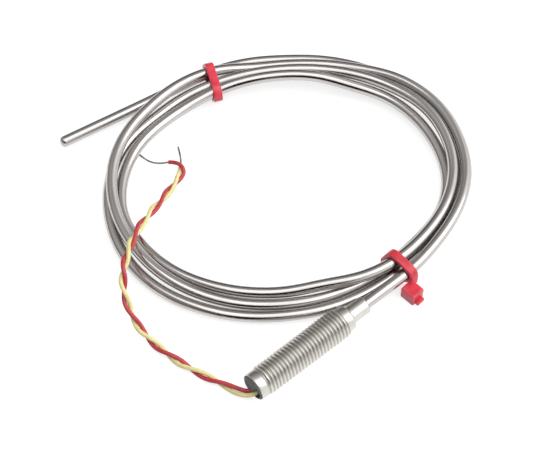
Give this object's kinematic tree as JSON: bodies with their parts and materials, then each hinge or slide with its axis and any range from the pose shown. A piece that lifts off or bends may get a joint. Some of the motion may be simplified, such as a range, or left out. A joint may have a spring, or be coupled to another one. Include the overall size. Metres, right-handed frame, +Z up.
{
  "type": "thermocouple probe",
  "caption": "Coiled metal-sheathed thermocouple probe with a threaded pot seal, twisted red and yellow flying leads and red cable ties, for measuring temperature at its straight tip.",
  "frame": {"origin": "middle of the probe's footprint on the table, without its leads", "axes": "+Z up from the table, -Y towards the picture's camera, +X to its right"},
  "size_m": [0.1086, 0.1064, 0.0119],
  "materials": {
    "sheath_steel": "drawn, bright",
    "pot_steel": "turned",
    "oxide": "packed powder",
    "thermo_alloy": "drawn wire",
    "resin": "cast resin",
    "splice_metal": "crimped",
    "lead_pair": "extruded",
    "red_insulation": "extruded",
    "yellow_insulation": "extruded",
    "bare_wire": "drawn wire",
    "tie_nylon": "moulded"
  },
  "bodies": {
    "root": {"sheath": "sheath_steel", "end_cap": "sheath_steel", "tip_insulation": "oxide", "hot_junction": "thermo_alloy", "positive_thermoelement": "thermo_alloy", "negative_thermoelement": "thermo_alloy", "pot_body": "pot_steel", "potting_resin": "resin", "positive_splice": "splice_metal", "negative_splice": "splice_metal", "lead_pair": "lead_pair", "red_lead": "red_insulation", "yellow_lead": "yellow_insulation", "red_conductor": "bare_wire", "yellow_conductor": "bare_wire", "front_tie": "tie_nylon", "rear_tie": "tie_nylon"}
  },
  "joints": []
}
